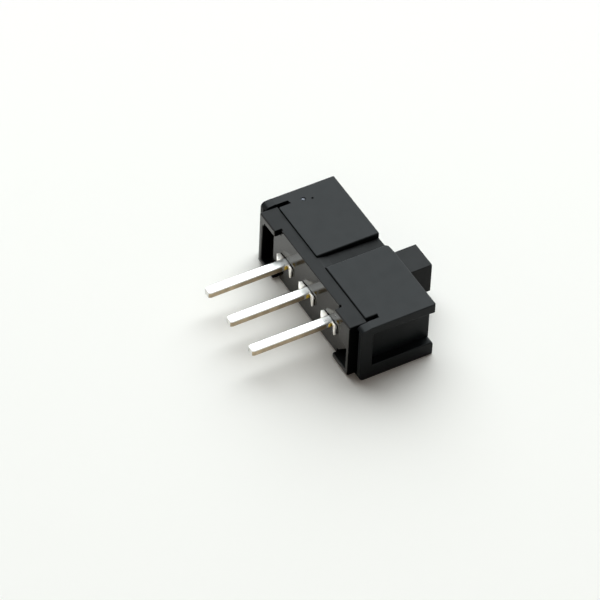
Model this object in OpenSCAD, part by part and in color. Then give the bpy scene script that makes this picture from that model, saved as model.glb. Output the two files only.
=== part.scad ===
// Miniature slide switch for a circuit board, lying on one long side.
// X runs along the slide, +Y points from the board to the knob, and Z is the thickness.
// The origin is on the middle terminal, in the plane of the board's surface.

/* [Housing] */
// Length of the housing along the slide
body_length = 11.6; // [11.2:0.1:13]
// Thickness across the two long sides
body_thickness = 4.0; // [4:0.1:5]
// Height of the slider face above the board
body_height = 5.2; // [5:0.1:6]
// Gap between the board and the lower edge of the end walls
skirt_gap = 0.42; // [0.3:0.02:0.5]
// Thickness of the two long side walls
side_wall = 0.6; // [0.55:0.01:0.65]
// Thickness of the wall around the knob's slot
face_wall = 0.6; // [0.5:0.05:0.7]
// Radius of the lower corners of the end walls
skirt_radius = 0.3; // [0.1:0.05:0.4]
// Depth of the recess in each end face
end_recess = 0.55; // [0.4:0.05:0.6]
// Thickness of the flange above each end recess, at the board side and at the slider face
upper_flange = [0.54, 0.72];
// Thickness of the flange below each end recess
lower_flange = 0.96; // [0.6:0.02:1.1]
// Width of the upright bar beside each end recess
end_bar = 0.8; // [0.65:0.05:0.9]
// Width of the groove in the middle of each long side
groove_width = 0.98; // [0.7:0.02:1.1]
// Where the groove's middle lies along X
groove_middle = -0.06; // [-0.1:0.02:0.1]
// Depth of that groove
groove_depth = 0.4; // [0.3:0.01:0.44]
// Size of the small slot at the lower corners of each panel, along X, Y and Z
corner_slot = [0.28, 0.72, 0.5];

/* [Base] */
// Length of the base between the end walls
base_length = 10.36; // [10.2:0.02:10.4]
// Height of the seam between base and housing above the board
seam_height = 1.13; // [1:0.01:1.3]
// How far the base's sides lie below the housing's panels
base_inset = 0.1; // [0.05:0.01:0.15]
// Height of the base's underside above the board, between the feet
floor_height = 0.38; // [0.2:0.02:0.5]
// Length of the foot at each end
foot_length = 1.73; // [1.4:0.01:1.9]
// Thickness of the feet's walls along the upper and the lower long side
foot_walls = [0.45, 0.3];
// Thickness of the feet's end walls
foot_end = 0.32; // [0.25:0.01:0.4]
// Height of the pockets inside the feet above the board
pocket_height = 0.75; // [0.6:0.05:0.9]
// Gap between the latch tongue and the sides of its groove
tongue_gap = 0.06; // [0.02:0.01:0.2]
// Height of the tongue's end above the board
tongue_height = 5.12; // [4.8:0.02:5.16]

/* [Terminals] */
// Distance between neighbouring terminals
pitch = 2.54; // [2.5:0.02:2.54]
// Width of a terminal's leg
leg_width = 0.58; // [0.5:0.02:0.62]
// Thickness of the terminal sheet
leg_thickness = 0.4; // [0.3:0.02:0.44]
// Length of a leg below the board's surface
leg_length = 4.8; // [3:0.1:6]
// How far the staked fin stands out beside a leg
fin_reach = 0.53; // [0.4:0.01:0.6]
// Size of the staked lug on a leg's other side, along X, Y and Z
lug = [0.42, 0.12, 0.82];
// Width of the contact head inside the switch
head_width = 1.4; // [1.2:0.05:1.5]

/* [Slider] */
// Length of the knob along the slide
knob_length = 1.88; // [1.6:0.02:2]
// Thickness of the knob
knob_thickness = 2.1; // [1.8:0.05:2.1]
// Height of the knob above the housing
knob_height = 1.9; // [1:0.05:4]
// Distance that the knob travels from end to end
travel = 2.6; // [2:0.05:2.7]

/* [Hidden] */
$fn = 48;

half_length = body_length / 2;
half_thickness = body_thickness / 2;
sliding_gap = 0.05;
fit_gap = 0.02;

// How far a cut runs past the outside, and how far joined solids reach into each other
past = 1;
overlap = 0.1;

// Inside of the housing
end_web = 0.4;
cavity_half_length = half_length - end_recess - end_web;
cavity_half_thickness = half_thickness - side_wall;
ceiling_height = body_height - face_wall;
end_wall_face = half_length - end_recess;
base_gap = 0.07;
base_bay = base_length / 2 + base_gap;
end_slot_web = 0.25;
end_slot = half_length - 0.3;
end_slot_height = skirt_gap + end_bar - end_slot_web;
corner_slot_start = cavity_half_length + overlap;
knob_slot_half_length = travel / 2 + knob_length / 2 + sliding_gap;
knob_slot_half_thickness = knob_thickness / 2 + sliding_gap;
latch_window = [0.34, 0.7];
latch_height = seam_height + 2.3;
groove_floor = half_thickness - groove_depth;
panel_corner_cut = [0.7, 0.05];
panel_corner_ease = [0.15, 0.2];

// The end walls' lower corners slope in slightly below this height
slope_height = 1.08;
slope_depth = 0.04;
skirt_half_thickness = half_thickness - slope_depth;
recess_bottom = skirt_gap + end_bar;
lower_flange_corner = [0.14, 0.12];

// The moulding gate's mark on one panel
gate_mark = [-4.92, 2.7];
gate_mark_radius = 0.15;
gate_mark_depth = 0.05;
gate_nub_height = 0.03;
gate_nub_radius = 0.09;
gate_hole = [-4.75, 3.2];
gate_hole_radius = 0.07;
gate_hole_depth = 0.15;

// Base
base_half_thickness = half_thickness - base_inset;
plug_depth = 0.55;
plug_height = seam_height + plug_depth;
plug_half_length = cavity_half_length - sliding_gap;
plug_half_thickness = cavity_half_thickness - sliding_gap;
foot_start = base_length / 2 - foot_length;
foot_relief = [0.12, 0.1, 0.5];
foot_inner = base_length / 2 - foot_end;
upper_pocket_side = base_half_thickness - foot_walls[0];
lower_pocket_side = foot_walls[1] - base_half_thickness;
tongue_bottom = groove_floor + fit_gap;
tongue_tip = 0.05;
tongue_drop = [0.6, 0.12];
tongue_half_width = groove_width / 2 - tongue_gap;
latch_step = 0.16;

// Outlines, in X and Z, of the openings in the feet: down to the underside, and of the deeper pockets.
// The foot at the -X end is hollow. The one at the +X end has a solid block in its upper half.
hollow_corner = [0.25, 0.35];
hollow_side = foot_inner - hollow_corner.x;
hollow_foot = [[foot_start - overlap, upper_pocket_side], [hollow_side, upper_pocket_side],
               [foot_inner - hollow_corner.x / 4, upper_pocket_side - hollow_corner.y],
               [foot_inner, lower_pocket_side], [foot_start - overlap, lower_pocket_side]];
hollow_ledge = 0.75;
block_ledge = 0.63;
block_side = [0.15, 0.1];
block_foot = [[foot_start - overlap, upper_pocket_side], [foot_start + block_ledge, upper_pocket_side],
              [foot_start + block_ledge, block_side[0]], [foot_inner, block_side[1]],
              [foot_inner, lower_pocket_side], [foot_start - overlap, lower_pocket_side]];
pocket_corner = [0.45, 0.65];
block_pocket = [[foot_inner, block_side[1]], [foot_inner - pocket_corner.x, block_side[1]],
                [foot_inner - pocket_corner.x, block_side[1] - pocket_corner.y],
                [foot_start - overlap, lower_pocket_side], [foot_inner, lower_pocket_side]];

// Terminals
head_bottom = plug_height + fit_gap;
head_length = 0.5;
head_top = head_bottom + head_length;
tip_length = 0.14;
tip_width = leg_width - 0.14;
terminal_gap = 0.03;

// Outline of the staked fin, in X from the leg's side and Y from its upper edge
fin_top = floor_height - fit_gap;
fin_corner = [0.02, 0.15];
fin_root = 0.48;
root_overlap = 0.05;
fin = [[-root_overlap, 0], [fin_reach - fin_corner.x, 0], [fin_reach, -fin_corner.y],
       [-root_overlap, -fin_root]];

// Slider, at rest at the +X end of its travel
rest_offset = travel / 2;
contact_drop = 0.13;
spring_cover = 0.3;
carriage_half_length = cavity_half_length - travel / 2 - sliding_gap;
carriage_bottom = head_top + contact_drop;
carriage_top = ceiling_height - sliding_gap;
carriage_half_thickness = cavity_half_thickness - sliding_gap;
contact_bay = [3.7, 1.7, 0.62];

// Moving contact
contact_thickness = 0.15;
contact_length = 3.6;
contact_width = 1.5;
contact_dimple_drop = 0.22;
contact_dimple_radius = 0.42;
contact_dimple_rise = contact_dimple_radius - contact_dimple_drop;
contact_bottom = head_top + fit_gap + contact_dimple_drop;
contact_top = contact_bottom + contact_thickness;

// Contact spring
spring_wire = 0.2;
spring_radius = 0.5;
spring_turns = 3.5;
spring_sides = 8;
spring_steps = 14;
spring_bay_radius = spring_radius + spring_wire / 2 + sliding_gap;
spring_bottom = contact_top + spring_wire / 2 + fit_gap;
spring_top = carriage_top - spring_cover - spring_wire / 2 - fit_gap;

// Carries a drawing of the (Y, Z) section along X, centred on the middle terminal.
module along_x(length) {
    translate([-length / 2, 0, 0])
        rotate([90, 0, 90])
            linear_extrude(length) children();
}

// A box given by its lowest and highest corners.
module span_box(low, high) {
    translate(low) cube(high - low);
}

// A box that is symmetrical in X and Z and runs from y_low to y_high.
module centred_box(half_x, y_low, y_high, half_z) {
    span_box([-half_x, y_low, -half_z], [half_x, y_high, half_z]);
}

// Repeats a shape at both ends of the switch.
module at_both_ends() {
    children();
    mirror([1, 0, 0]) children();
}

// Repeats a shape on both long sides of the switch.
module on_both_sides() {
    children();
    mirror([0, 0, 1]) children();
}

// Section of the housing: it narrows a little towards the board, and its two lower corners are round.
module housing_section() {
    translate([slope_height, -half_thickness])
        square([body_height - slope_height, body_thickness]);
    polygon([[slope_height + fit_gap, half_thickness], [slope_height, half_thickness],
             [skirt_gap + skirt_radius, skirt_half_thickness],
             [skirt_gap + skirt_radius, -skirt_half_thickness],
             [slope_height, -half_thickness], [slope_height + fit_gap, -half_thickness]]);
    translate([skirt_gap, skirt_radius - skirt_half_thickness])
        square([skirt_radius + fit_gap, 2 * (skirt_half_thickness - skirt_radius)]);
    for (side = [-1, 1])
        translate([skirt_gap + skirt_radius, side * (skirt_half_thickness - skirt_radius)])
            circle(skirt_radius);
}

// Recess of an end face, open towards the slider face, with the thin slot beside the base.
module end_cuts() {
    flange_side = half_thickness - upper_flange[1];
    ledge_side = lower_flange - half_thickness;
    translate([end_wall_face, 0, 0])
        rotate([90, 0, 90])
            linear_extrude(end_recess + past)
                polygon([[recess_bottom, half_thickness - upper_flange[0]],
                         [body_height + past, flange_side],
                         [body_height + past, ledge_side - lower_flange_corner.y],
                         [body_height, ledge_side - lower_flange_corner.y],
                         [body_height - lower_flange_corner.x, ledge_side], [recess_bottom, ledge_side]]);
    span_box([base_bay - fit_gap, skirt_gap - past, -(half_thickness - end_slot_web)],
             [end_slot, end_slot_height, half_thickness - end_slot_web]);
    on_both_sides()
        span_box([corner_slot_start, seam_height - fit_gap, half_thickness - corner_slot.z],
                 [corner_slot_start + corner_slot.x, seam_height + corner_slot.y, half_thickness + past]);
}

// Groove of a long side, with the window that holds the latch and one eased panel corner.
module side_cuts() {
    groove_end = groove_middle + groove_width / 2;
    span_box([groove_end - groove_width, seam_height - overlap, groove_floor],
             [groove_end, body_height + past, half_thickness + past]);
    span_box([-latch_window.x / 2, latch_height, cavity_half_thickness - past],
             [latch_window.x / 2, latch_height + latch_window.y, half_thickness + past]);
    translate([groove_end, body_height, groove_floor])
        linear_extrude(groove_depth + past)
            polygon([[-overlap, past], [-overlap, -panel_corner_ease.y], [0, -panel_corner_ease.y],
                     [panel_corner_ease.x, -panel_corner_cut.y], [panel_corner_cut.x, 0],
                     [panel_corner_cut.x, past]]);
}

// Mark of the moulding gate: a round pit with a nub in it, and a pinhole beside it.
module gate_pit() {
    translate([gate_mark.x, gate_mark.y, half_thickness - gate_mark_depth])
        difference() {
            cylinder(h = past, r = gate_mark_radius);
            cylinder(h = gate_nub_height, r = gate_nub_radius);
        }
    translate([gate_hole.x, gate_hole.y, half_thickness - gate_hole_depth])
        cylinder(h = past, r = gate_hole_radius);
}

module housing() {
    color("#2b2e31")
        difference() {
            along_x(body_length) housing_section();
            centred_box(cavity_half_length, skirt_gap - past, ceiling_height, cavity_half_thickness);
            centred_box(base_bay, skirt_gap - past, seam_height, half_thickness + past);
            centred_box(knob_slot_half_length, 0, body_height + past, knob_slot_half_thickness);
            at_both_ends() end_cuts();
            on_both_sides() side_cuts();
            gate_pit();
        }
}

// Tongue that fills the groove, thins towards its end and snaps into the housing's window.
module latch_tongue() {
    window_end = latch_height + latch_window.y - overlap;
    translate([groove_middle, 0, 0])
        along_x(2 * tongue_half_width)
            polygon([[seam_height - overlap, tongue_bottom], [tongue_height, tongue_bottom],
                     [tongue_height, tongue_bottom + tongue_tip],
                     [seam_height + tongue_drop.x, base_half_thickness - tongue_drop.y],
                     [seam_height, base_half_thickness], [seam_height - overlap, base_half_thickness]]);
    along_x(latch_window.x - 2 * fit_gap)
        polygon([[latch_height + fit_gap, tongue_bottom + tongue_tip / 2],
                 [latch_height + fit_gap, tongue_bottom - latch_step],
                 [window_end, tongue_bottom], [window_end, tongue_bottom + tongue_tip / 2]]);
}

// A cut with the given (X, Z) outline, from below the board up to a height.
module board_cut(outline, height) {
    translate([0, height, 0])
        rotate([90, 0, 0])
            linear_extrude(height + past) polygon(outline);
}

// The gap between the feet, and the hollows inside them.
module board_side_cuts() {
    centred_box(foot_start, -past, floor_height, half_thickness);
    at_both_ends()
        on_both_sides()
            span_box([foot_start - foot_relief.x, -past, half_thickness - foot_relief.z],
                     [foot_start, floor_height + foot_relief.y, half_thickness]);
    mirror([1, 0, 0]) {
        board_cut(hollow_foot, floor_height);
        intersection() {
            board_cut(hollow_foot, pocket_height);
            span_box([foot_start + hollow_ledge, -past, -half_thickness],
                     [base_length, past, half_thickness]);
        }
    }
    board_cut(block_foot, floor_height);
    board_cut(block_pocket, pocket_height);
}

module base() {
    color("#26282a")
        difference() {
            union() {
                centred_box(base_length / 2, 0, seam_height - fit_gap, base_half_thickness);
                centred_box(plug_half_length, seam_height - overlap, plug_height, plug_half_thickness);
                on_both_sides() latch_tongue();
            }
            board_side_cuts();
            for (place = [-1, 0, 1])
                translate([place * pitch, 0, 0])
                    centred_box(leg_width / 2 + terminal_gap, 0, plug_height + past,
                                leg_thickness / 2 + terminal_gap);
        }
}

// A flat piece of the terminal sheet with the given outline.
module sheet(outline) {
    linear_extrude(leg_thickness, center = true) polygon(outline);
}

// Staked metal against the base's underside: a lug folded down on one side of the leg, a fin on the other.
module staked_metal() {
    translate([leg_width / 2 - root_overlap, fin_top - lug.y, leg_thickness / 2 - lug.z])
        cube([lug.x + root_overlap, lug.y, lug.z]);
    mirror([1, 0, 0]) translate([leg_width / 2, fin_top, 0]) sheet(fin);
}

// Flat stamped terminal: leg with a blunt tip, staked metal and a wide contact head.
module terminal(place) {
    leg = leg_width / 2;
    head = head_width / 2;
    translate([place * pitch, 0, 0])
        color("#d9dadb") {
            sheet([[-tip_width / 2, -leg_length], [tip_width / 2, -leg_length],
                   [leg, -leg_length + tip_length], [leg, head_bottom], [head, head_bottom],
                   [head, head_top], [-head, head_top], [-head, head_bottom],
                   [-leg, head_bottom], [-leg, -leg_length + tip_length]]);
            staked_metal();
        }
}

module terminal_1() {
    terminal(-1);
}

module terminal_2() {
    terminal(0);
}

module terminal_3() {
    terminal(1);
}

module slider() {
    color("#2f3133")
        translate([rest_offset, 0, 0])
            difference() {
                union() {
                    centred_box(carriage_half_length, carriage_bottom, carriage_top, carriage_half_thickness);
                    centred_box(knob_length / 2, carriage_top - overlap, body_height + knob_height,
                                knob_thickness / 2);
                }
                centred_box(contact_bay.x / 2, 0, carriage_bottom + contact_bay.z, contact_bay.y / 2);
                rotate([-90, 0, 0])
                    cylinder(h = carriage_top - spring_cover, r = spring_bay_radius);
            }
}

// Sprung bridge between two heads: a strip with two round dimples below it.
module moving_contact() {
    color("#c8b27a")
        translate([rest_offset, 0, 0]) {
            centred_box(contact_length / 2, contact_bottom, contact_top, contact_width / 2);
            for (side = [-1, 1])
                translate([side * pitch / 2, contact_bottom + contact_dimple_rise, 0])
                    difference() {
                        cylinder(h = contact_width, r = contact_dimple_radius, center = true);
                        translate([-past, contact_thickness / 2 - contact_dimple_rise, -contact_width])
                            cube([2 * past, past, 2 * contact_width]);
                    }
        }
}

// Centre of the spring's wire at step i, and the ring of points around it.
function spring_height(i) = spring_bottom + (spring_top - spring_bottom) * i / (spring_turns * spring_steps);
function spring_ring(i) = [for (k = [0:spring_sides - 1])
    let (around = 360 * i / spring_steps,
         across = 360 * k / spring_sides,
         reach = spring_radius + spring_wire / 2 * cos(across))
    [reach * cos(around), spring_height(i) + spring_wire / 2 * sin(across), reach * sin(around)]];

module contact_spring() {
    rings = spring_turns * spring_steps;
    points = [for (i = [0:rings]) each spring_ring(i)];
    walls = [for (i = [0:rings - 1], k = [0:spring_sides - 1])
        let (next = (k + 1) % spring_sides)
        [i * spring_sides + k, (i + 1) * spring_sides + k,
         (i + 1) * spring_sides + next, i * spring_sides + next]];
    first_cap = [for (k = [0:spring_sides - 1]) k];
    last_cap = [for (k = [spring_sides - 1:-1:0]) rings * spring_sides + k];
    color("#9aa0a4")
        translate([rest_offset, 0, 0])
            polyhedron(points = points, faces = concat([first_cap, last_cap], walls));
}

housing();
base();
terminal_1();
terminal_2();
terminal_3();
slider();
moving_contact();
contact_spring();
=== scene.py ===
"""Miniature slide switch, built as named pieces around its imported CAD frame.

Everything is in metres. X runs along the slide, +Y points from the circuit board to the knob, and Z is the
thickness. The switch lies on its lower long side, and the origin is on the middle terminal in the plane
where the feet meet a board.
"""

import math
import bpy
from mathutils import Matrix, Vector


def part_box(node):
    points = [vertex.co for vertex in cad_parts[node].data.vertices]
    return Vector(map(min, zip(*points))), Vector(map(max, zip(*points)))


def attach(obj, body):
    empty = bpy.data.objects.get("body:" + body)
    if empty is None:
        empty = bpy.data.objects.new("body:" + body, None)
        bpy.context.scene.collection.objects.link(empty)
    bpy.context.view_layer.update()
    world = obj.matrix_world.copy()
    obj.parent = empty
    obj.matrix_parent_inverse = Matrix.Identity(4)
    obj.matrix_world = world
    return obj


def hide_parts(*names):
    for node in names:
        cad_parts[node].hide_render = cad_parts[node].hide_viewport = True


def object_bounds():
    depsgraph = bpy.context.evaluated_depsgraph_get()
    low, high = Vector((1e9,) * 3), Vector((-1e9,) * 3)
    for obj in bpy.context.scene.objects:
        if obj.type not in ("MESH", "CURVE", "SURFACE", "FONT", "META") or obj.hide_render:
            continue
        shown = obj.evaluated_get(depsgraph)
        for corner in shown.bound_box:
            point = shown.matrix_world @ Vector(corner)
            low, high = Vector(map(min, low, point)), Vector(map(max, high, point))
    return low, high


bl_info = {
    "name": "Slide switch",
    "version": (1, 0, 0),
    "blender": (4, 5, 0),
    "location": "View3D > Sidebar > Slide switch",
    "description": "Builds the visible pieces and materials of a miniature slide switch",
    "category": "Add Mesh",
}

import bmesh
import bpy
import numpy as np
from bpy.props import FloatProperty, FloatVectorProperty, IntProperty, PointerProperty
from mathutils import Matrix, Vector

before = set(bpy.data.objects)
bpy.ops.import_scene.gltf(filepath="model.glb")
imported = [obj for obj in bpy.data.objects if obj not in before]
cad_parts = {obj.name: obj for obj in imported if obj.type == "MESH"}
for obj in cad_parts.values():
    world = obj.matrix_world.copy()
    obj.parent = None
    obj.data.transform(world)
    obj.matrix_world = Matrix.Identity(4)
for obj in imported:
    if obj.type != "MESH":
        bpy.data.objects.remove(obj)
CAD_BOX = [list(corner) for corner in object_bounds()]
MM = 0.001

FLOOR_LEVEL = CAD_BOX[0][2]
TERMINALS = ("terminal_1", "terminal_2", "terminal_3")


def linear(code):
    """Linear red, green, blue and alpha of an sRGB hex colour such as "#2a2d30"."""
    shares = [int(code[i : i + 2], 16) / 255 for i in (1, 3, 5)]
    return [*(s / 12.92 if s <= 0.04045 else ((s + 0.055) / 1.055) ** 2.4 for s in shares), 1.0]


# ---------------------------------------------------------------------------------------------------------
# Settings


def colour_setting(name, description, code):
    """A colour that a user can change, given as sRGB hex."""
    return FloatVectorProperty(name=name, description=description, subtype="COLOR", size=4,
                               min=0, max=1, default=linear(code))


def length_setting(name, description, millimetres):
    """A length that a user can change, given in millimetres."""
    return FloatProperty(name=name, description=description, subtype="DISTANCE", unit="LENGTH",
                         min=0, default=millimetres * MM)


class MouldedSettings(bpy.types.PropertyGroup):
    """Colours and edges of the moulded plastic pieces."""

    housing_colour: colour_setting("Housing", "Colour of the housing's nylon", "#0c0f10")
    base_colour: colour_setting("Base", "Colour of the base's polyester", "#0c0d0d")
    # The polished side's brown tint on black resin is a painted warm reflection
    underside_colour_and_reflection: colour_setting("Underside", "Colour of the base's polished side", "#120f08")
    slider_colour: colour_setting("Slider", "Colour of the slider's acetal", "#0a0b0b")
    edge_width: length_setting("Edge width", "Width of the moulded edges' rounding", 0.07)
    knob_edge_width: length_setting("Knob edge width", "Width of the knob's edge rounding", 0.05)
    edge_steps: IntProperty(name="Edge steps", description="Segments of each rounded edge", default=3, min=1)


class TerminalSettings(bpy.types.PropertyGroup):
    """Sizes and colours of the stamped terminals."""

    tin_colour: colour_setting("Tin", "Colour of the tin plate", "#e4e3df")
    brass_colour: colour_setting("Sheared brass", "Colour of the bare stamped edge", "#b5a48a")
    fresh_brass_colour: colour_setting("Fresh brass", "Colour of the notch cut by the staking tool",
                                       "#e8c552")
    # The fins' and lugs' cream colour, paler than the tin, is a painted highlight
    staked_tin_glint_colour: colour_setting("Torn tin", "Colour of the staked fins and lugs", "#fffaee")
    roll: length_setting("Die roll", "Radius of the upper stamped edge", 0.07)
    burr: length_setting("Burr", "Radius of the lower stamped edge", 0.025)


class SpringSettings(bpy.types.PropertyGroup):
    """Sizes and colours of the hidden contact parts."""

    bronze_colour: colour_setting("Contact", "Colour of the plated bronze contact", "#d8cfae")
    wire_colour: colour_setting("Spring", "Colour of the spring wire", "#8d9094")
    turns: FloatProperty(name="Turns", description="Turns of the contact spring", default=4.5, min=2)


class StageSettings(bpy.types.PropertyGroup):
    """Camera, light and floor."""

    azimuth: FloatProperty(name="Azimuth", description="Direction that the camera looks from",
                           subtype="ANGLE", unit="ROTATION", default=math.radians(58.852))
    elevation: FloatProperty(name="Elevation", description="Height of the camera above the horizon",
                             subtype="ANGLE", unit="ROTATION", default=math.radians(45.599))
    roll: FloatProperty(name="Roll", description="Tilt of the camera about its own axis",
                        subtype="ANGLE", unit="ROTATION", default=math.radians(2.694))
    lens: FloatProperty(name="Lens", description="Focal length in millimetres", default=276.839, min=10)
    distance: length_setting("Distance", "Distance from the camera to its target", 260)
    target: FloatVectorProperty(name="Target", description="Point that the camera looks at",
                                subtype="TRANSLATION", unit="LENGTH", size=3,
                                default=(0.35 * MM, -0.389 * MM, 0.0))
    light_level: FloatProperty(name="Light level", description="Share of the light that comes from all round",
                               default=0.13, min=0)
    key_power: FloatProperty(name="Key power", description="Power of the large soft lamp in watts",
                             default=8.0, min=0)
    floor_colour: colour_setting("Floor", "Colour of the pale floor", "#fff9f3")


class SwitchSettings(bpy.types.PropertyGroup):
    """All the settings of the switch."""

    moulded: PointerProperty(type=MouldedSettings)
    terminals: PointerProperty(type=TerminalSettings)
    springs: PointerProperty(type=SpringSettings)
    stage: PointerProperty(type=StageSettings)


# ---------------------------------------------------------------------------------------------------------
# Materials


def add_node(tree, kind, settings=None, values=None, links=None):
    """Adds a node: settings are its attributes, values its input values, links its inputs' sources."""
    node = tree.nodes.new(kind)
    for name, value in (settings or {}).items():
        setattr(node, name, value)
    for name, value in (values or {}).items():
        node.inputs[name].default_value = value
    for name, source in (links or {}).items():
        tree.links.new(source, node.inputs[name])
    return node


def new_material(name, colour, values):
    """A material with one Principled shader, its constants on the shader's own sockets."""
    material = bpy.data.materials.new(name)
    material.use_nodes = True
    material.diffuse_color = colour
    shader = material.node_tree.nodes["Principled BSDF"]
    shader.inputs["Base Color"].default_value = colour
    for socket, value in values.items():
        shader.inputs[socket].default_value = value
    return material, material.node_tree, shader


def tinted(colour, factor):
    """A colour made lighter or darker by a factor."""
    return [min(1.0, c * factor) for c in colour[:3]] + [1.0]


def noise(tree, place, grain, detail=3.0, roughness=0.5):
    """Fractal noise whose main blobs are grain millimetres apart."""
    return add_node(tree, "ShaderNodeTexNoise", {"noise_dimensions": "3D"},
                    {"Scale": 1 / (grain * MM), "Detail": detail, "Roughness": roughness}, {"Vector": place})


def remap(tree, source, low, high, start=0.3, end=0.7):
    """Turns values between start and end into values between low and high."""
    return add_node(tree, "ShaderNodeMapRange", {"clamp": True},
                    {"From Min": start, "From Max": end, "To Min": low, "To Max": high},
                    {"Value": source}).outputs["Result"]


def blended(tree, share, first, second):
    """Mixes two colours by a share from 0 to 1."""
    mix = add_node(tree, "ShaderNodeMix", {"data_type": "RGBA"})
    mix.inputs[6].default_value, mix.inputs[7].default_value = first, second
    tree.links.new(share, mix.inputs["Factor"])
    return mix.outputs[2]


def moulded_plastic(name, colour, gloss, grain, relief, ior, level=None, gate=None):
    """Injection-moulded black engineering plastic.

    Glass fibres near the skin give a faint mottle, and the mould's spark-eroded or polished face gives a fine
    grain: grain is its spacing and relief its depth, both in millimetres. The eye sees a soft, slightly
    cloudy sheen instead of a flat black. Where a level is given, in millimetres either side of the middle,
    the sheen is weaker on all that stands lower than that: painted shade that darkens the grooves and ends.
    Where a gate is given, a small ragged patch round the gate's nub is paler: a painted highlight.
    """
    material, tree, shader = new_material(name, colour, {"IOR": ior})
    place = add_node(tree, "ShaderNodeTexCoord").outputs["Object"]
    mottle = noise(tree, place, 1.3, 4.0, 0.6).outputs["Fac"]
    cloud = noise(tree, place, 0.7, 3.0).outputs["Fac"]
    skin = noise(tree, place, grain, 3.0, 0.6).outputs["Fac"]
    skin_colour = blended(tree, remap(tree, mottle, 0, 1), tinted(colour, 0.82), tinted(colour, 1.22))
    # Painted shade: a weaker sheen below the level darkens the grooves and ends
    if level is not None:
        parts = add_node(tree, "ShaderNodeSeparateXYZ", links={"Vector": place})
        height = add_node(tree, "ShaderNodeMath", {"operation": "ABSOLUTE"}, links={0: parts.outputs["Z"]})
        tree.links.new(remap(tree, height.outputs[0], 0.36, 0.5, (level - 0.07) * MM, (level - 0.02) * MM),
                       shader.inputs["Specular IOR Level"])
    # Painted highlight: a pale, ragged patch round the gate's nub
    if gate is not None:
        middle, radius, pale = gate
        away = add_node(tree, "ShaderNodeVectorMath", {"operation": "DISTANCE"}, links={0: place})
        away.inputs[1].default_value = [c * MM for c in middle]
        torn = noise(tree, place, 0.16, 3.0, 0.7).outputs["Fac"]
        reach = add_node(tree, "ShaderNodeMath", {"operation": "MULTIPLY_ADD"}, links={0: torn})
        reach.inputs[1].default_value = radius * 1.8 * MM
        tree.links.new(away.outputs["Value"], reach.inputs[2])
        glint_share = remap(tree, reach.outputs[0], 1, 0, radius * 1.3 * MM, radius * 1.9 * MM)
        glint_mix = add_node(tree, "ShaderNodeMix", {"data_type": "RGBA"})
        glint_mix.inputs[7].default_value = pale
        tree.links.new(glint_share, glint_mix.inputs["Factor"])
        tree.links.new(skin_colour, glint_mix.inputs[6])
        skin_colour = glint_mix.outputs[2]
    tree.links.new(skin_colour, shader.inputs["Base Color"])
    tree.links.new(remap(tree, cloud, gloss * 0.84, gloss * 1.24), shader.inputs["Roughness"])
    bump = add_node(tree, "ShaderNodeBump", values={"Strength": 1.0, "Distance": relief * MM},
                    links={"Height": skin})
    tree.links.new(bump.outputs["Normal"], shader.inputs["Normal"])
    return material


def rolled_tin(name, colour):
    """Brass strip, rolled and electroplated with bright tin.

    The eye sees a soft mirror with faint lines along the strip.
    """
    material, tree, shader = new_material(name, colour, {"Metallic": 1.0})
    place = add_node(tree, "ShaderNodeTexCoord").outputs["Object"]
    stretched = add_node(tree, "ShaderNodeMapping", values={"Scale": (1.0, 0.05, 1.0)},
                         links={"Vector": place})
    lines = noise(tree, stretched.outputs["Vector"], 0.05, 3.0, 0.65).outputs["Fac"]
    cloud = noise(tree, place, 0.35, 3.0).outputs["Fac"]
    tree.links.new(blended(tree, remap(tree, cloud, 0, 1), tinted(colour, 0.93), tinted(colour, 1.03)),
                   shader.inputs["Base Color"])
    tree.links.new(remap(tree, cloud, 0.26, 0.36), shader.inputs["Roughness"])
    bump = add_node(tree, "ShaderNodeBump", values={"Strength": 1.0, "Distance": 0.0006 * MM},
                    links={"Height": lines})
    tree.links.new(bump.outputs["Normal"], shader.inputs["Normal"])
    return material


def sheared_brass(name, colour, gloss, darkest=0.75):
    """Bare metal where a punch or a staking tool cut the strip.

    The eye sees a dull face, unevenly tarnished, with short score lines across the sheet's thickness.
    """
    material, tree, shader = new_material(name, colour, {"Metallic": 1.0})
    place = add_node(tree, "ShaderNodeTexCoord").outputs["Object"]
    stretched = add_node(tree, "ShaderNodeMapping", values={"Scale": (1.0, 1.0, 0.15)},
                         links={"Vector": place})
    scores = noise(tree, stretched.outputs["Vector"], 0.045, 3.0, 0.6).outputs["Fac"]
    tarnish = noise(tree, place, 0.5, 3.0).outputs["Fac"]
    tree.links.new(blended(tree, remap(tree, tarnish, 0, 1), tinted(colour, darkest), tinted(colour, 1.15)),
                   shader.inputs["Base Color"])
    tree.links.new(remap(tree, scores, gloss * 0.8, gloss * 1.3), shader.inputs["Roughness"])
    bump = add_node(tree, "ShaderNodeBump", values={"Strength": 1.0, "Distance": 0.0025 * MM},
                    links={"Height": scores})
    tree.links.new(bump.outputs["Normal"], shader.inputs["Normal"])
    return material


def drawn_wire(name, colour, gloss):
    """Hard drawn wire or rolled spring strip: the eye sees fine grain and a grey or pale yellow sheen."""
    material, tree, shader = new_material(name, colour, {"Metallic": 1.0})
    place = add_node(tree, "ShaderNodeTexCoord").outputs["Object"]
    grain = noise(tree, place, 0.04, 3.0).outputs["Fac"]
    tree.links.new(blended(tree, remap(tree, grain, 0, 1), tinted(colour, 0.9), tinted(colour, 1.08)),
                   shader.inputs["Base Color"])
    tree.links.new(remap(tree, grain, gloss * 0.8, gloss * 1.25), shader.inputs["Roughness"])
    return material


# ---------------------------------------------------------------------------------------------------------
# Meshes


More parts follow.
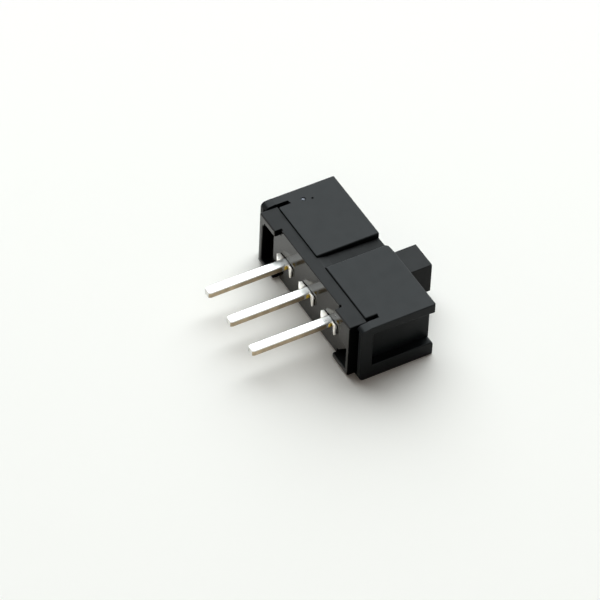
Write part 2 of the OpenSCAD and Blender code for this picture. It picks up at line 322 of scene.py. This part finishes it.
def new_piece(name, points, faces, body, replaced, materials, shares=None, smooth=True):
    """Makes a mesh piece, gives it its materials and body, and hides the CAD nodes it stands for."""
    mesh = bpy.data.meshes.new(name)
    mesh.from_pydata([tuple(p) for p in points], [], faces)
    for material in materials:
        mesh.materials.append(material)
    if shares is not None:
        mesh.polygons.foreach_set("material_index", np.asarray(shares, dtype=np.int32))
    mesh.polygons.foreach_set("use_smooth", np.full(len(mesh.polygons), smooth))
    mesh.validate()
    mesh.update()
    piece = bpy.data.objects.new(name, mesh)
    bpy.context.scene.collection.objects.link(piece)
    dress(piece, body, replaced)
    return piece


def dress(piece, body, replaced):
    """Lets a piece ride on its body and stand for its CAD nodes."""
    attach(piece, body)
    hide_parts(*replaced)


def moulded_copy(node, name, body, materials, width, steps, shortest=0.16, sharpest=40):
    """A merged copy of a CAD node with its outer edges rounded by a weighted bevel.

    An edge is rounded where its two faces meet at more than sharpest degrees. Next to an edge shorter than
    shortest millimetres the rounding is narrower in proportion, and small pits and slots stay crisp. Where
    there are three materials, the second goes to the faces towards the board and the third to the ends.
    """
    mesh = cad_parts[node].data.copy()
    mesh.name = name
    mesh.materials.clear()
    for material in materials:
        mesh.materials.append(material)
    shape = bmesh.new()
    shape.from_mesh(mesh)
    bmesh.ops.remove_doubles(shape, verts=shape.verts, dist=1e-4 * MM)
    bmesh.ops.dissolve_limit(shape, angle_limit=math.radians(1), verts=shape.verts, edges=shape.edges)
    weights = shape.edges.layers.float.new("bevel_weight_edge")
    for edge in shape.edges:
        if len(edge.link_faces) != 2 or edge.calc_face_angle() < math.radians(sharpest):
            continue
        room = min(e.calc_length() for v in edge.verts for e in v.link_edges)
        if edge.is_convex and room > 0.05 * MM:
            edge[weights] = min(1.0, room / (shortest * MM))
    for face in shape.faces:
        face.smooth = True
        # With three materials the ends take the third, which on the base carries their painted shade
        if len(materials) == 3:
            face.material_index = 1 if face.normal.y < -0.9 else 2 if abs(face.normal.x) > 0.9 else 0
    shape.to_mesh(mesh)
    shape.free()
    piece = bpy.data.objects.new(name, mesh)
    bpy.context.scene.collection.objects.link(piece)
    bevel = piece.modifiers.new("Moulded edges", "BEVEL")
    bevel.limit_method = "WEIGHT"
    bevel.width, bevel.segments, bevel.use_clamp_overlap = width, steps, False
    bevel.miter_outer = "MITER_ARC"
    rounded = bpy.data.meshes.new_from_object(piece.evaluated_get(bpy.context.evaluated_depsgraph_get()))
    rounded.name = name
    piece.modifiers.clear()
    piece.data = rounded
    bpy.data.meshes.remove(mesh)
    even_normals(rounded)
    dress(piece, body, [node])
    return piece


def even_normals(mesh, broad=0.06, alike=50):
    """Corner normals that keep broad faces flat and let the narrow faces of a rounding blend into them.

    A face is broad where twice its area is more than broad millimetres times its outline. A narrow face's
    corner takes the mean, weighted by area, of the faces round its vertex within alike degrees of it.
    """
    vertex = np.empty(len(mesh.loops), dtype=np.int32)
    mesh.loops.foreach_get("vertex_index", vertex)
    points = np.empty(len(mesh.vertices) * 3)
    mesh.vertices.foreach_get("co", points)
    points = points.reshape(-1, 3)
    faces = len(mesh.polygons)
    first, count = np.empty(faces, dtype=np.int32), np.empty(faces, dtype=np.int32)
    mesh.polygons.foreach_get("loop_start", first)
    mesh.polygons.foreach_get("loop_total", count)
    area, normal = np.empty(faces), np.empty(faces * 3)
    mesh.polygons.foreach_get("area", area)
    mesh.polygons.foreach_get("normal", normal)
    face = np.repeat(np.arange(faces), count)
    following = np.arange(len(vertex)) + 1
    following[first + count - 1] = first
    sides = np.linalg.norm(points[vertex[following]] - points[vertex], axis=1)
    is_broad = (2 * area > broad * MM * np.add.reduceat(sides, first))[face]
    direction = normal.reshape(-1, 3)[face]
    shared = vertex[:, None] == vertex[None, :]
    shared &= direction @ direction.T > math.cos(math.radians(alike))
    mean = (shared * area[face]) @ direction
    mean[is_broad] = direction[is_broad]
    mean /= np.linalg.norm(mean, axis=1, keepdims=True)
    mesh.normals_split_custom_set(mean.tolist())


def stamped_plate(outline, thickness, roll, burr, arc_steps=4):
    """Points and faces of a flat plate cut from sheet by a punch.

    The outline is carried round a section: down the upper edge on a quarter circle of radius roll, down the
    cut side, and under on a quarter circle of radius burr. Each point moves inwards along the bisector of its
    two neighbours' directions by the section's depth there. Rows run down the section and columns round the
    outline, and one many-sided face closes the top and one the bottom.
    """
    ring = np.asarray(outline, dtype=float)
    ahead = np.roll(ring, -1, axis=0) - ring
    ahead /= np.linalg.norm(ahead, axis=1, keepdims=True)
    behind = np.roll(ahead, 1, axis=0)
    inward = np.stack([-ahead[:, 1], ahead[:, 0]], axis=1) + np.stack([-behind[:, 1], behind[:, 0]], axis=1)
    inward /= np.maximum(1 + np.sum(ahead * behind, axis=1, keepdims=True), 0.25)
    turn = np.linspace(0, math.pi / 2, arc_steps + 1)
    depth = np.concatenate([roll * (1 - np.sin(turn)), burr * (1 - np.cos(turn))])
    height = np.concatenate([thickness / 2 - roll * (1 - np.cos(turn)),
                             -thickness / 2 + burr * (1 - np.sin(turn))])
    flat = ring[None, :, :] + depth[:, None, None] * inward[None, :, :]
    rows, columns = len(depth), len(ring)
    points = np.concatenate([flat, np.broadcast_to(height[:, None, None], (rows, columns, 1))], axis=2)
    row, column = np.meshgrid(np.arange(rows - 1), np.arange(columns), indexing="ij")
    after = (column + 1) % columns
    quads = np.stack([row * columns + column, (row + 1) * columns + column,
                      (row + 1) * columns + after, row * columns + after], axis=-1).reshape(-1, 4)
    faces = quads.tolist()
    faces.append(list(range(columns)))
    faces.append(list(range(rows * columns - 1, (rows - 1) * columns - 1, -1)))
    is_side = (row == arc_steps).reshape(-1)
    return points.reshape(-1, 3), faces, is_side, column.reshape(-1)


def coiled_wire(centre, bottom, top, radius, wire, turns, steps=36, sides=14):
    """Points and faces of a compression spring with a closed turn at each end.

    A circle of radius wire / 2 is carried along a helix about Y. The helix's height follows a smooth step
    that stays level for the first and last three quarters of a turn, and a flat face closes each end.
    """
    travel = np.linspace(0, 1, int(turns * steps) + 1)
    angle = 2 * math.pi * turns * travel
    ramp = np.clip((travel * turns - 0.75) / (turns - 1.5), 0, 1)
    height = bottom + wire / 2 + (top - bottom - wire) * ramp
    spine = np.stack([radius * np.cos(angle), height, radius * np.sin(angle)], axis=1)
    outward = np.stack([np.cos(angle), np.zeros_like(angle), np.sin(angle)], axis=1)
    around = 2 * math.pi * np.arange(sides) / sides
    ring = (spine[:, None, :] + wire / 2 * (np.cos(around)[None, :, None] * outward[:, None, :]
            + np.sin(around)[None, :, None] * np.array([0.0, 1.0, 0.0])[None, None, :]))
    rings = len(travel)
    step, side = np.meshgrid(np.arange(rings - 1), np.arange(sides), indexing="ij")
    after = (side + 1) % sides
    quads = np.stack([step * sides + side, step * sides + after,
                      (step + 1) * sides + after, (step + 1) * sides + side], axis=-1).reshape(-1, 4).tolist()
    quads.append(list(range(sides - 1, -1, -1)))
    quads.append(list(range((rings - 1) * sides, rings * sides)))
    return ring.reshape(-1, 3) + np.asarray(centre), quads


# ---------------------------------------------------------------------------------------------------------
# Operators


def settings(context):
    """The scene's settings of the switch."""
    return context.scene.slide_switch


class SWITCH_OT_housing(bpy.types.Operator):
    """Build the moulded housing with softened edges."""

    bl_idname = "switch.housing"
    bl_label = "Housing"

    # Middle of the gate mark and radius of its painted highlight, in millimetres, and the highlight's colour
    gate = ((-4.93, 2.68, 2.0), 0.13, linear("#8b8e99"))
    # Half the thickness over the panels, in millimetres: below it the sheen is weaker, painted shade on the
    # grooves and ends
    panel_level = 2.0

    def execute(self, context):
        chosen = settings(context).moulded
        # Glass-filled nylon from a spark-eroded mould: charcoal black with a satin, faintly mottled face. Its
        # grain swallows part of the sheen, so the index is below the resin's own 1.53.
        nylon = moulded_plastic("nylon_moulded_satin", list(chosen.housing_colour), 0.36, 0.07, 0.0016, 1.235,
                                self.panel_level, self.gate)
        moulded_copy("housing", "housing_shell", "body", [nylon],
                     chosen.edge_width, chosen.edge_steps)
        return {"FINISHED"}


class SWITCH_OT_base(bpy.types.Operator):
    """Build the moulded base with its feet and latch tongues."""

    bl_idname = "switch.base"
    bl_label = "Base"

    # Just over half the thickness of the rim: below it the sheen is weaker, painted shade that makes the web
    # in the groove duller than the rim
    rim_level = 1.93

    def execute(self, context):
        chosen = settings(context).moulded
        # Polyester: satin on the sides, where the mould is grained.
        satin = moulded_plastic("polyester_moulded_satin", list(chosen.base_colour),
                                0.38, 0.07, 0.0014, 1.217, self.rim_level)
        # The same resin from the polished part of the mould: the underside mirrors the terminals. Its brown
        # tint is a painted warm reflection on the black resin.
        polished = moulded_plastic("polyester_moulded_polished", list(chosen.underside_colour_and_reflection),
                                   0.12, 0.3, 0.0008, 1.4)
        # Its ends, dulled to a deeper black beside the satin housing: painted shade for the gap under the
        # housing's end walls.
        ends_painted_shade = moulded_plastic("polyester_ends_painted_shade", tinted(chosen.base_colour, 0.4),
                                  0.6, 0.05, 0.002, 1.06)
        moulded_copy("base", "base_moulding", "body", [satin, polished, ends_painted_shade],
                     chosen.edge_width * 1.3, chosen.edge_steps, shortest=0.2)
        return {"FINISHED"}


class SWITCH_OT_slider(bpy.types.Operator):
    """Build the slider with its square knob."""

    bl_idname = "switch.slider"
    bl_label = "Slider"

    # Half the thickness of the knob, in millimetres: below it the sheen is weaker, painted shade
    knob_level = 1.05

    def execute(self, context):
        chosen = settings(context).moulded
        # Acetal: a waxy black, a little more even than the nylon.
        acetal = moulded_plastic("acetal_moulded_satin", list(chosen.slider_colour), 0.38, 0.06, 0.0014, 1.22,
                                 self.knob_level)
        moulded_copy("slider", "slider_knob", "slide", [acetal],
                     chosen.knob_edge_width, chosen.edge_steps)
        return {"FINISHED"}


class SWITCH_OT_terminals(bpy.types.Operator):
    """Build the three stamped terminals with their staked barbs."""

    bl_idname = "switch.terminals"
    bl_label = "Terminals"

    # Points of the outline, in millimetres: X from the leg's centre and Y from the board
    near_side = [(0.22, -4.8), (0.29, -4.66), (0.29, -0.1), (0.29, 0.04), (0.29, 0.36)]
    inside = [(0.29, 1.7), (0.7, 1.7), (0.7, 2.2), (-0.7, 2.2), (-0.7, 1.7), (-0.29, 1.7)]
    far_side = [(-0.29, 0.36), (-0.29, -4.66), (-0.22, -4.8)]
    # Columns of the outline that keep their tin, and the one that the staking tool laid bare
    plated, notch = (2, 13), 3
    # Outline of the fin that the staking tool spread from the leg's far edge
    fin_shape = [(-0.27, 0.36), (-0.76, 0.36), (-0.81, 0.16), (-0.29, -0.11)]
    fin_edge = 0.05
    # Outline of the folded lug, in millimetres: X from the leg's centre and Z
    lug_shape = [(0.27, 0.2), (0.27, 0.12), (0.42, 0.0), (0.45, -0.3), (0.5, -0.56), (0.58, -0.62),
                 (0.68, -0.5), (0.66, -0.15), (0.71, 0.1), (0.6, 0.2)]
    lug_middle, lug_thickness, lug_edge = 0.3, 0.12, 0.03

    def execute(self, context):
        chosen = settings(context).terminals
        finishes = [rolled_tin("tin_plated_strip", list(chosen.tin_colour)),
                    sheared_brass("brass_sheared_edge", list(chosen.brass_colour), 0.42),
                    sheared_brass("brass_fresh_notch", list(chosen.fresh_brass_colour), 0.3)]
        # Tin that the staking tool tore: rougher than the rolled face. Its paler, creamier colour is a
        # painted highlight for the light that the bent fins and lugs catch.
        torn = sheared_brass("tin_staked_with_painted_glint", list(chosen.staked_tin_glint_colour), 0.55, 0.93)
        outline = np.array(self.near_side + self.inside + self.far_side) * MM
        for name in TERMINALS:
            low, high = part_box(name)
            middle = round((low.x + high.x) / 2 / MM / 2.54) * 2.54 * MM
            sheet = outline + [middle, 0]
            points, faces, is_side, column = stamped_plate(sheet, 2 * high.z, chosen.roll, chosen.burr)
            share = np.where(is_side, 1, 0)
            share[is_side & (column == self.notch)] = 2
            share[np.isin(column, self.plated)] = 0
            new_piece(name + "_strip", points, faces, "body", [name], finishes,
                      np.append(share, [0, 0]))
            spread = np.array(self.fin_shape) * MM + [middle, 0]
            points, faces, _, _ = stamped_plate(spread, 2 * high.z, self.fin_edge * MM, chosen.burr)
            new_piece(name + "_fin", points, faces, "body", [name], [torn])
            folded = np.array(self.lug_shape) * MM + [middle, 0]
            flat, faces, _, _ = stamped_plate(folded, self.lug_thickness * MM, self.lug_edge * MM,
                                              self.lug_edge * MM)
            points = np.stack([flat[:, 0], self.lug_middle * MM - flat[:, 2], flat[:, 1]], axis=1)
            new_piece(name + "_lug", points, faces, "body", [name], [torn])
        return {"FINISHED"}


class SWITCH_OT_contacts(bpy.types.Operator):
    """Build the contact spring and finish the moving contact."""

    bl_idname = "switch.contacts"
    bl_label = "Contacts"

    wire, radius = 0.2 * MM, 0.5 * MM

    def execute(self, context):
        chosen = settings(context).springs
        steel = drawn_wire("spring_wire_drawn", list(chosen.wire_colour), 0.3)
        bronze = drawn_wire("bronze_strip_silvered", list(chosen.bronze_colour), 0.22)
        low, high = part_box("contact_spring")
        centre = ((low.x + high.x) / 2, 0, 0)
        points, faces = coiled_wire(centre, low.y, high.y, self.radius, self.wire, chosen.turns)
        new_piece("contact_coil", points, faces, "slide", ["contact_spring"], [steel])
        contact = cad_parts["moving_contact"]
        contact.material_slots[0].material = bronze
        return {"FINISHED"}


class SWITCH_OT_stage(bpy.types.Operator):
    """Set up the pale floor, the soft lamps and the camera."""

    bl_idname = "switch.stage"
    bl_label = "Stage"

    def execute(self, context):
        chosen = settings(context).stage
        self.add_floor(context.scene, chosen)
        self.add_light(context.scene, chosen)
        self.add_camera(context.scene, chosen)
        view = context.scene.view_settings
        view.view_transform = "Standard"
        return {"FINISHED"}

    def add_floor(self, scene, chosen):
        """A flat disc under the switch: the radius and the angle are the two parameters of its grid."""
        rings, spokes, reach = 8, 96, 1.6
        radius = reach * np.linspace(0, 1, rings + 1)[1:] ** 2
        angle = 2 * math.pi * np.arange(spokes) / spokes
        grid = np.stack([radius[:, None] * np.cos(angle), radius[:, None] * np.sin(angle),
                         np.full((rings, spokes), FLOOR_LEVEL)], axis=-1).reshape(-1, 3)
        points = np.concatenate([[[0, 0, FLOOR_LEVEL]], grid])
        ring, spoke = np.meshgrid(np.arange(rings - 1), np.arange(spokes), indexing="ij")
        after = (spoke + 1) % spokes
        quads = np.stack([1 + ring * spokes + spoke, 1 + (ring + 1) * spokes + spoke,
                          1 + (ring + 1) * spokes + after, 1 + ring * spokes + after], axis=-1).reshape(-1, 4)
        fan = np.stack([np.zeros(spokes, int), 1 + np.arange(spokes),
                        1 + (np.arange(spokes) + 1) % spokes], axis=-1)
        mesh = bpy.data.meshes.new("floor")
        mesh.from_pydata(points.tolist(), [], quads.tolist() + fan.tolist())
        # Matt paper: a pale sheet that keeps the shadow and gives no glare.
        paper, _, shader = new_material("paper_matt", list(chosen.floor_colour), {"Roughness": 0.9})
        mesh.materials.append(paper)
        floor = bpy.data.objects.new("floor", mesh)
        scene.collection.objects.link(floor)

    def add_light(self, scene, chosen):
        """A white tent from the world, a large soft lamp behind and a small warm fill in front."""
        world = bpy.data.worlds.new("tent")
        world.use_nodes = True
        tree = world.node_tree
        backdrop = tree.nodes["Background"]
        backdrop.inputs["Color"].default_value = linear("#ffffff")
        backdrop.inputs["Strength"].default_value = 1.0
        glow = add_node(tree, "ShaderNodeBackground",
                        values={"Color": linear("#faf6f0"), "Strength": chosen.light_level})
        ray = add_node(tree, "ShaderNodeLightPath").outputs
        seen = add_node(tree, "ShaderNodeMath", {"operation": "MAXIMUM"})
        tree.links.new(ray["Is Camera Ray"], seen.inputs[0])
        tree.links.new(ray["Is Glossy Ray"], seen.inputs[1])
        any_seen = add_node(tree, "ShaderNodeMath", {"operation": "MAXIMUM"})
        tree.links.new(seen.outputs[0], any_seen.inputs[0])
        tree.links.new(ray["Is Transmission Ray"], any_seen.inputs[1])
        mix = add_node(tree, "ShaderNodeMixShader", links={"Fac": any_seen.outputs[0]})
        tree.links.new(glow.outputs[0], mix.inputs[1])
        tree.links.new(backdrop.outputs[0], mix.inputs[2])
        tree.links.new(mix.outputs[0], tree.nodes["World Output"].inputs["Surface"])
        scene.world = world
        lamps = {"key": ((-0.365, 0.206, 0.43), 1.0, chosen.key_power, "#edf7fa"),
                 "fill": ((0.45, -0.25, 0.3), 0.3, 0.1, "#ffe6c8")}
        for name, (place, size, energy, colour) in lamps.items():
            data = bpy.data.lights.new(name, "AREA")
            data.shape, data.size, data.energy = "DISK", size, energy
            data.color = linear(colour)[:3]
            lamp = bpy.data.objects.new(name, data)
            lamp.location = place
            lamp.rotation_mode = "QUATERNION"
            lamp.rotation_quaternion = (-Vector(place)).to_track_quat("-Z", "Y")
            scene.collection.objects.link(lamp)

    def add_camera(self, scene, chosen):
        """The camera looks at its target from azimuth and elevation, turned by roll about its own axis."""
        up = chosen.elevation
        back = Vector((math.sin(chosen.azimuth) * math.cos(up), -math.cos(chosen.azimuth) * math.cos(up),
                       math.sin(up)))
        right = Vector((math.cos(chosen.azimuth), math.sin(chosen.azimuth), 0))
        top = back.cross(right)
        turned_right = right * math.cos(chosen.roll) + top * math.sin(chosen.roll)
        turned_top = top * math.cos(chosen.roll) - right * math.sin(chosen.roll)
        place = Vector(chosen.target) + back * chosen.distance
        data = bpy.data.cameras.new("camera")
        data.lens, data.sensor_width = chosen.lens, 36.0
        data.clip_start, data.clip_end = 0.01, 10.0
        camera = bpy.data.objects.new("camera", data)
        turn = Matrix((turned_right, turned_top, back)).transposed()
        camera.matrix_world = Matrix.Translation(place) @ turn.to_4x4()
        scene.collection.objects.link(camera)
        scene.camera = camera


class SWITCH_PT_panel(bpy.types.Panel):
    """Lists the settings and the pieces of the slide switch."""

    bl_label = "Slide switch"
    bl_idname = "SWITCH_PT_panel"
    bl_space_type = "VIEW_3D"
    bl_region_type = "UI"
    bl_category = "Slide switch"

    def draw(self, context):
        chosen = settings(context)
        for group in (chosen.moulded, chosen.terminals, chosen.springs, chosen.stage):
            box = self.layout.box()
            for name in group.__annotations__:
                box.prop(group, name)
        for name in PIECES:
            self.layout.operator("switch." + name)


OPERATORS = (SWITCH_OT_housing, SWITCH_OT_base, SWITCH_OT_slider, SWITCH_OT_terminals, SWITCH_OT_contacts,
             SWITCH_OT_stage)
PIECES = ("housing", "base", "slider", "terminals", "contacts", "stage")
CLASSES = (MouldedSettings, TerminalSettings, SpringSettings, StageSettings, SwitchSettings, *OPERATORS,
           SWITCH_PT_panel)


def register():
    for each in CLASSES:
        bpy.utils.register_class(each)
    bpy.types.Scene.slide_switch = PointerProperty(type=SwitchSettings)


def unregister():
    del bpy.types.Scene.slide_switch
    for each in reversed(CLASSES):
        bpy.utils.unregister_class(each)


def main():
    register()
    for name in PIECES:
        getattr(bpy.ops.switch, name)()


if __name__ == "__main__":
    main()
